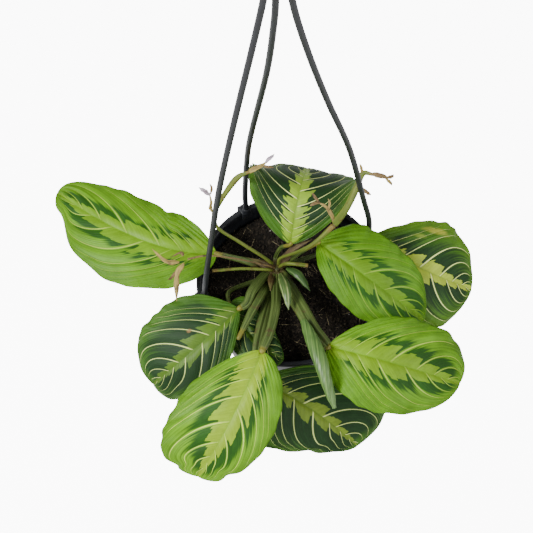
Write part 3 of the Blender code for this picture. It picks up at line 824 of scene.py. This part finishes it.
def leaf_material(name, look, reach, seed, spots=()):
    """Colours of the upper side.  reach is (how far the dark patches go out, how softly they end, how much
    of the strip between two veins they fill)."""
    made = new_material(name)
    along, place_across = uv_parts(made, "blade")
    passed, out = uv_parts(made, "veins")
    cell = passed.fract()
    out_far, softness, fill = reach

    def streak(count, run, offset):
        """Noise drawn out along the side veins: count streaks from vein to vein."""
        return noise_at(vector(passed * count, out * run, seed * 7.3 + offset), 1.0)

    fine, broad, edge_noise = streak(16, 2.2, 0), streak(5, 1.4, 3), streak(9, 3.0, 5)
    strip_random = random_of(passed.floor() * 1.37 + seed * 3.1)
    step_random = random_of((passed * 5.0).floor() + seed)

    # lobed edge of the centre band: one blunt lobe in each strip, stepped along the fine veins
    lobe = (fade(cell, 0.0, 0.15, 0.0, 0.35) + cell * 0.80) * fade(cell, 0.74, 0.88, 1, 0)
    rise = (lobe * look["lobe"] + step_random * (look["lobe"] * 0.60)) * (strip_random * 0.56 + 0.72)
    edge = (rise + edge_noise * 0.06 + (look["band"] - 0.03)) * fade(along, 0.45, 1.0, 1.0, 0.40)
    edge = edge + fade(along, 0.0, 0.22, look["foot"], 0.0)
    beyond_edge = fade(out - edge, -0.006, 0.010)

    # dark patches from the band outward, dissolving into streaks along the veins
    far = strip_random * 0.20 + (broad - 0.5) * 0.30 + (step_random - 0.5) * 0.16 + (out_far - 0.10)
    past = (out - far) / softness + (fine - 0.5) * 1.8
    step_in = abs(cell - 0.5) * 2.0 + (edge_noise - 0.5) * 0.45 + out * 0.25
    ends = fade(along, 0.13, 0.20) * fade(along, 0.93, 0.99, 1, 0)
    patch = beyond_edge * fade(past, -0.55, 0.75, 1, 0) * fade(step_in, fill - 0.03, fill + 0.05, 1, 0) * ends

    streaked = fade(fine, 0.40, 0.60)
    darker = scaled(look["margin"], 0.62)
    field = mix(fade(out, 0.60, 1.0), look["ground"], look["margin"])
    field = mix(streaked * 0.55, field, scaled(look["ground"], 1.45))
    field = mix(fade(broad, 0.50, 0.72) * 0.55, field, darker)
    field = mix(fade(fine, 0.34, 0.44, 0.55, 0), field, darker)
    patch_tint = mix(streaked * 0.35, look["patch"], scaled(look["patch"], 1.8))
    centre_tint = mix(streaked * 0.5, look["centre"], scaled(look["centre"], 0.76))
    colour = mix(patch, mix(beyond_edge, centre_tint, field), patch_tint)

    # side veins: a thin line at each whole count, thinning towards the margin and fainter on the centre band
    off_vein = 0.5 - abs(cell - 0.5)
    width = fade(out, 0.25, 0.95, look["vein_width"], look["vein_width"] * 0.62)
    vein = fade(off_vein, width * 0.45, width, 1, 0) * fade(out, 0.84, 0.96, 1, 0) * fade(passed, 0.30, 0.55)
    colour = mix(fade(off_vein, width, width * 2.2, 1, 0) * 0.35, colour, look["ground"])
    colour = mix(vein * fade(out - edge, -0.12, 0.0, 0.40, 0.96), colour, look["vein"])
    midrib_width = fade(along, 0.0, 1.0, 0.034, 0.014)
    midrib_tint = tuple(0.60 * a + 0.40 * b for a, b in zip(look["centre"], look["ground"]))
    colour = mix(fade(out, midrib_width * 0.5, midrib_width, 1, 0) * 0.8, colour, midrib_tint)

    # blemishes: (part of the length, place across, size along, size across, colour)
    for spot_along, spot_across, long, wide, tint in spots:
        away = ((along - spot_along) / long) ** 2 + abs((place_across - spot_across) / wide) ** 2
        colour = mix(fade(away + (broad + fine) * 1.1, 0.8, 2.2, 0.9, 0), colour, tint)

    place = object_place(made)
    colour = mix(1.0, colour, fade(noise_at(place, 60, 3, 0.6), 0.3, 0.7, 0.86, 1.10), "MULTIPLY")
    relief = fine * 0.8 + vein * 0.5 + noise_at(place, 1500) * 0.35
    return painted(made, colour, fade(fine + patch, 0.4, 1.7, 0.42, 0.55), 0.15, relief, 0.4 * MM, 0.7)


def underside_material(name, look, flush):
    """The grey-green, duller lower side, with raised veins and a flush of another colour."""
    made = new_material(name)
    passed, out = uv_parts(made, "veins")
    vein = fade(0.5 - abs(passed.fract() - 0.5), 0.02, 0.07, 1, 0)
    clouds = noise_at(object_place(made), 28)
    dull = tuple(0.6 * part + 0.035 for part in look["margin"])
    colour = mix(fade(clouds, 0.35, 0.7) * 0.6, dull, flush)
    colour = mix(vein * 0.6, colour, (0.20, 0.26, 0.10))
    colour = mix(fade(out, 0.02, 0.06, 0.8, 0), colour, (0.24, 0.28, 0.10))
    return painted(made, colour, 0.6, height=vein + clouds, depth=0.3 * MM, strength=0.6)


SPOTS = {
    "leaf_far_right": ((0.49, 0.89, 0.17, 0.040, (0.38, 0.37, 0.04)),
                       (0.36, 0.80, 0.08, 0.03, (0.20, 0.27, 0.03))),
    "leaf_lower_left": ((0.45, 0.34, 0.028, 0.022, (0.24, 0.14, 0.05)),),
}
undersides = {"light": underside_material("underside_light", LIGHT, (0.10, 0.14, 0.045)),
              "dark": underside_material("underside_dark", DARK, (0.085, 0.045, 0.060))}
for leaf_index, (leaf_name, shape) in enumerate(LEAVES.items()):
    *midrib_points, left_half, right_half, leaf_tilt, look, vein_count, patch_reach = shape
    kind = "dark" if look["patch"] == DARK["patch"] else "light"
    leaf = blade(leaf_name.replace("leaf", "blade"), *midrib_points, left_half, right_half,
                 math.radians(leaf_tilt), vein_count, leaf_index + 1, DENTS.get(leaf_name, ()))
    leaf.data.materials.append(leaf_material(f"{leaf_name}_upper", look, patch_reach, leaf_index + 1,
                                             SPOTS.get(leaf_name, ())))
    leaf.data.materials.append(undersides[kind])
    thick = leaf.modifiers.new("Thickness", "SOLIDIFY")
    thick.thickness = BLADE_THICKNESS
    thick.offset = 0
    thick.material_offset = 1
    thick.use_even_offset = False
    apply_modifiers(leaf)
    finish_piece(leaf, leaf_name, slot=f"{kind}_leaf")

# ----------------------------------------------------------------------
# Rolled leaf and bracts.  A new leaf stands rolled up in a long pale spiral; the striped bracts that shed
# it are short, folded and pointed.  All are swept bodies whose outline steps where one margin laps over.
# ----------------------------------------------------------------------
def rolled_outline(widths, flatness, laps, step=0.16):
    """A roll: its radius falls from the outer margin round to the inner one, and the margin winds along."""
    def outline(part, turn):
        around = (turn + laps * part) % 1.0
        lap = step * (around - 0.5) - 0.10 * math.exp(-(min(around, 1 - around) / 0.03) ** 2)
        width = along_list(widths, part) * MM
        veins = 0.018 * math.cos(2 * math.pi * (around * 14 + part * 3))
        return flatness, width * (1 + lap + veins)
    return outline


def rolled_material(name, pale, green, stripe, stripes, bands):
    """Pale and green stripes that wind with the roll, fading into each other lengthwise."""
    made = new_material(name)
    along, turn = uv_parts(made, "stalk")
    wound = turn * stripes + along * bands
    fine = noise_at(vector(wound * 3.0, along * 3.0), 1.0, 3)
    blotch = noise_at(object_place(made), 90, 3)
    colour = mix(fade(fine, 0.35, 0.65), pale, green)
    colour = mix(fade(abs(wound.fract() - 0.5), 0.05, 0.16, 0.75, 0), colour, stripe)
    colour = mix(fade(blotch, 0.5, 0.72, 0, 0.6), colour, green)
    return painted(made, colour, 0.44, height=fine, depth=0.3 * MM, strength=0.6)


# name: (route in mm from the rim's centre, half widths in mm, flatness, laps, slot, colours)
ROLLS = {
    "rolled_leaf": (((7, -45, 24), (16, -79, 33), (24, -112, 22)),
                    (2.6, 4.2, 5.0, 5.2, 5.0, 4.4, 3.4, 1.4), 0.9, 0.9,
                    "rolled_leaf", ((0.085, 0.170, 0.034), (0.038, 0.092, 0.014), (0.14, 0.24, 0.055), 9, 5)),
    "bract_front": (((-7, 0, 8), (-4, -18, 20), (-3, -34, 20)), (1.8, 3.5, 4.1, 3.6, 2.4, 0.3), 0.7, 0.1,
                    "bract", ((0.075, 0.130, 0.026), (0.035, 0.075, 0.014), (0.30, 0.35, 0.13), 5, 0)),
    "bract_right": (((-2, 5, 7), (6, -3, 12), (14, -15, 8)), (1.2, 2.8, 3.4, 2.6, 0.3), 0.55, 0.1,
                    "bract", ((0.035, 0.085, 0.014), (0.020, 0.055, 0.010), (0.10, 0.17, 0.04), 4, 0)),
}
for roll_name, (points, widths, flatness, laps, slot_name, colours) in ROLLS.items():
    roll = swept(roll_name.replace("leaf", "new_leaf").replace("bract", "folded_bract"),
                 route_through(points, 110), rolled_outline(widths, flatness, laps), 72)
    finish_piece(roll, roll_name, slot=slot_name, material=rolled_material(f"{roll_name}_stripes", *colours))

# ----------------------------------------------------------------------
# Flower stalks.  Thin, smooth, yellow-green stalks that come up between the leaves and fork once, with a
# brown foot to each length.  Two older stalks are cut short.
# ----------------------------------------------------------------------
FLOWER_STALKS = {
    # name: (route, half widths, brown foot as a part of the length)
    "flower_stalk_left": (((-12, 10, 2), (-16, 12, 10), (-35, 18, 30), (-50, 23, 46), (-52, 28, 60)),
                          (1.6, 1.3, 1.2, 1.7), 0.05),
    "flower_fork_left": (((-52, 28, 60), (-50, 30, 62), (-43, 35, 74), (-33, 40, 88), (-24, 41, 94)),
                         (1.5, 1.6, 2.2, 1.1), 0.12),
    "flower_stalk_right": (((-8, 10, 3), (-6, 11, 13), (6, 6, 32), (18, 6, 44), (33, 13, 57)),
                           (1.3, 1.2, 1.5, 2.1), 0.05),
    "flower_fork_right": (((33, 13, 57), (35, 14.5, 59), (43, 20, 71), (50, 29, 82), (55, 36, 89),
                           (62, 33, 92)), (1.7, 2.6, 2.6, 2.2, 1.1), 0.10),
    "cut_stalk_left": (((-11, 7, 1), (-18, 5, 8), (-36, 6, 10), (-57, 5, 12)), (1.4, 1.2, 1.2), 0.15),
    "cut_stalk_right": (((-8, 9, 2), (-2.4, 8, 9), (4, 6, 12), (14, 4, 12)), (1.2, 1.5, 1.5), 0.05),
}


def cut_outline(widths, seed):
    def outline(part, turn):
        ribs = 0.05 * math.cos(2 * math.pi * turn * 6 + seed) + 0.04 * math.sin(17 * part + seed)
        return 0.85, along_list(widths, part) * MM * (1 + ribs) * (0.86 + 0.14 * round_end(part, 0.03))
    return outline


for stalk_index, (name, (points, widths, brown_foot)) in enumerate(FLOWER_STALKS.items()):
    stalk = swept(f"{name}_stem", route_through(points, 80), cut_outline(widths, stalk_index * 1.3), 32)
    finish_piece(stalk, name, slot="flower_stalk", material=stalk_material(
        f"{name}_green", (0.075, 0.110, 0.012), (0.145, 0.175, 0.026), (0.080, 0.048, 0.015),
        brown_foot, (0.17, 0.125, 0.03), 0.93, streaks=0.6))

# ----------------------------------------------------------------------
# Dry remains.  The flower branches end in clusters of narrow, withered bracts, two with a small lilac petal
# left; a dead stalk holds curled brown ones.  They are shrunken, creased and rolled in along one side.
# ----------------------------------------------------------------------
def withered_outline(widths, seed):
    """A dry, shrunken bract: thin, creased lengthwise, with a channel where it is rolled in."""
    def outline(part, turn):
        crease = 0.14 * math.sin(2 * math.pi * turn * 3 + 5 * part + seed) + 0.06 * math.sin(23 * part + seed)
        channel = 0.35 * math.exp(-((turn - 0.5 * part) / 0.09) ** 2)
        return 0.55, along_list(widths, part) * MM * (1 + crease - channel)
    return outline


def dry_material(name, straw, brown, dark):
    made = new_material(name)
    along, turn = uv_parts(made, "stalk")
    fibres = noise_at(vector(along * 3.0, turn * 11.0), 1.0, 3)
    colour = mix(fade(fibres, 0.36, 0.66), straw, brown)
    colour = mix(fade(noise_at(object_place(made), 240, 3), 0.52, 0.70, 0, 0.8), colour, dark)
    return painted(made, colour, 0.72, height=fibres, depth=0.4 * MM, strength=0.8)


straw_dry = dry_material("dry_straw", (0.32, 0.245, 0.060), (0.180, 0.118, 0.030), (0.070, 0.038, 0.014))
brown_dry = dry_material("dry_brown", (0.190, 0.128, 0.042), (0.105, 0.057, 0.022), (0.036, 0.019, 0.009))
lilac_petal = dry_material("lilac_petal", (0.46, 0.40, 0.44), (0.32, 0.25, 0.31), (0.18, 0.12, 0.13))
sheath_dry = dry_material("dry_sheath", (0.100, 0.072, 0.022), (0.065, 0.036, 0.012), (0.030, 0.015, 0.007))

# the CAD pieces that are dry, each with its own route, half widths and finish
DRY_PIECES = {
    "flower_branch_left": (((-52, 28, 60), (-54, 31, 62), (-53, 34, 66), (-54, 39, 71)),
                           (0.8, 1.4, 1.0, 0.4), straw_dry),
    "flower_branch_right": (((33, 13, 57), (33, 17, 60), (29, 23, 66), (22, 27, 68)),
                            (0.9, 1.2, 1.5, 1.1, 0.4), straw_dry),
    "flower_left": (((-25, 41, 93.5), (-22.5, 41.5, 94.5), (-17, 43, 97), (-11, 46, 98)),
                    (1.1, 2.0, 1.7, 0.7), straw_dry),
    "flower_right": (((61, 33.5, 92), (63.5, 32.6, 92.6), (68, 31, 93), (72, 29, 93)),
                     (1.1, 1.7, 2.1, 1.7, 0.5), brown_dry),
    "dry_sheath_right": (((-8, 10, 3), (-3, 13, 9), (6, 15, 21), (18, 18, 27)),
                         (1.5, 2.8, 2.3, 0.5), sheath_dry),
    "dried_stalk": (((-11, 7, 5), (-17, 6, 13), (-39, 5, 30), (-59, 5, 38), (-73, 2, 41)),
                    (0.8, 0.6, 0.55, 0.8), brown_dry),
    "dried_bract_1": (((-76, -1, 41), (-81, -9, 39), (-83, -26, 31)), (0.8, 2.3, 1.7, 1.9, 0.3), straw_dry),
    "dried_bract_2": (((-79, -1, 43), (-88, 0, 44), (-98, 9, 47)), (0.9, 2.0, 1.5, 1.2, 0.3), straw_dry),
    "dried_bract_3": (((-76, 4, 43), (-78, 8, 40), (-86, 6, 37)), (0.7, 1.4, 1.1, 0.3), brown_dry),
}
# small pieces of the same clusters that have no solid of their own
DRY_BITS = {
    "petal_left": (((-53, 37, 70), (-57, 39, 73), (-61, 42, 74)), (0.5, 1.8, 1.5, 0.3), lilac_petal),
    "bract_tip_left": (((-53, 38, 70), (-52, 41, 74), (-53, 43, 77)), (0.5, 1.0, 0.8, 0.2), brown_dry),
    "bract_tip_fork": (((-15, 44, 97), (-11, 42, 97), (-7, 42, 96)), (0.5, 1.0, 0.8, 0.2), brown_dry),
    "petal_fork": (((-13, 45, 98), (-9, 48, 99), (-6, 51, 99)), (0.5, 1.5, 1.2, 0.3), lilac_petal),
    "bract_tip_right_a": (((24, 26, 68), (20, 26, 68), (17, 25, 67)), (0.5, 1.2, 1.3, 0.5), brown_dry),
    "bract_tip_right_b": (((24, 26, 68), (21, 30, 70), (19, 33, 71)), (0.5, 1.0, 1.0, 0.3), brown_dry),
    "bract_tip_right_c": (((30, 21, 66), (31, 25, 69), (30, 28, 70)), (0.5, 0.9, 0.8, 0.2), straw_dry),
    "bract_tip_end_a": (((70, 29, 93), (74, 30, 93), (76, 32, 92)), (0.6, 1.3, 1.2, 0.3), brown_dry),
    "bract_tip_end_b": (((70, 29, 93), (73, 26, 92), (74, 24, 91)), (0.6, 1.2, 1.0, 0.3), straw_dry),
    "bract_tip_bend": (((55, 35, 89), (54, 39, 92), (53, 42, 93)), (0.6, 1.1, 0.9, 0.2), straw_dry),
    "bract_tip_low": (((53, 29, 82), (57, 26, 80), (60, 24, 79)), (0.6, 1.2, 1.4, 0.4), brown_dry),
    "bract_curl": (((-80, -4, 40), (-85, -10, 38), (-88, -13, 40)), (0.5, 1.1, 0.9, 0.2), brown_dry),
}
for bit_index, (name, (points, widths, finish)) in enumerate({**DRY_PIECES, **DRY_BITS}.items()):
    bit = swept(f"{name}_withered", route_through(points, 44), withered_outline(widths, bit_index * 1.9), 32)
    finish_piece(bit, *([name] if name in DRY_PIECES else []), slot="dry_flower", material=finish)

# ----------------------------------------------------------------------
# Floor, lights and camera.  The plant hangs well above a plain white floor, under broad soft lamps, and is
# seen from the front and far above.
# ----------------------------------------------------------------------
FLOOR_DROP = 0.75               # pot's base down to the floor
FLOOR_SIZE = 200                # wide enough to fill the view from any side
BACKDROP_GLOW = 9.0             # how bright the backdrop looks to the camera
SKY_LIGHT = 0.5                 # how much light the surroundings throw on the plant
# name: (place from the rim's centre in m, the disc's diameter in m, power in W)
LAMPS = {
    "key_lamp": ((-1.7, -0.5, 1.7), 1.0, 100),
    "fill_lamp": ((1.7, -0.6, 1.3), 1.6, 30),
    "front_lamp": ((0.0, -2.0, 1.2), 1.6, 24),
}
CAMERA_DISTANCE = 1.10
CAMERA_ELEVATION = math.radians(65)
CAMERA_ROLL = math.radians(3.9)
CAMERA_LENS = 99.4
AIM = at((-16.8, 11, 0))


def seen_glow(tree):
    """A glow that only the camera sees: the backdrop looks white but throws no more light on the plant."""
    return Wire(tree, add_node(tree, "ShaderNodeLightPath")["Is Camera Ray"]) * BACKDROP_GLOW


def build_floor():
    bpy.ops.mesh.primitive_plane_add(size=FLOOR_SIZE, location=(0, 0, pot_low.z - FLOOR_DROP))
    floor = bpy.context.object
    floor.name = "studio_floor"
    made = painted(new_material("studio_white"), (0.90, 0.90, 0.90, 1.0), 0.9, 0.1)
    glow = made.node_tree.nodes["Principled BSDF"].inputs
    glow["Emission Color"].default_value = (1, 1, 1, 1)
    plug(made.node_tree, glow["Emission Strength"], seen_glow(made.node_tree))
    floor.data.materials.append(made)


def build_lamp(name, place, size, power):
    light = bpy.data.lights.new(name, "AREA")
    light.shape = "DISK"
    light.size = size
    light.energy = power
    obj = new_object(name, light)
    obj.location = rim_centre + Vector(place)
    obj.rotation_euler = (-Vector(place)).to_track_quat("-Z", "Y").to_euler()


def build_world():
    world = bpy.data.worlds.new("soft_white")
    world.use_nodes = True
    sky = world.node_tree.nodes["Background"]
    sky.inputs["Color"].default_value = (1, 1, 1, 1)
    plug(world.node_tree, sky.inputs["Strength"], seen_glow(world.node_tree) + SKY_LIGHT)
    bpy.context.scene.world = world


def build_camera():
    lens = bpy.data.cameras.new("camera")
    lens.lens = CAMERA_LENS
    lens.sensor_width = 36
    camera = new_object("camera", lens)
    back = Vector((0, -math.cos(CAMERA_ELEVATION), math.sin(CAMERA_ELEVATION)))
    right, up = Vector((1, 0, 0)), back.cross(Vector((1, 0, 0)))
    turned_right = right * math.cos(CAMERA_ROLL) - up * math.sin(CAMERA_ROLL)
    turned_up = right * math.sin(CAMERA_ROLL) + up * math.cos(CAMERA_ROLL)
    axes = Matrix((turned_right, turned_up, back)).transposed().to_4x4()
    camera.matrix_world = Matrix.Translation(AIM + back * CAMERA_DISTANCE) @ axes
    bpy.context.scene.camera = camera


build_floor()
build_world()
for lamp_name, lamp in LAMPS.items():
    build_lamp(lamp_name, *lamp)
build_camera()
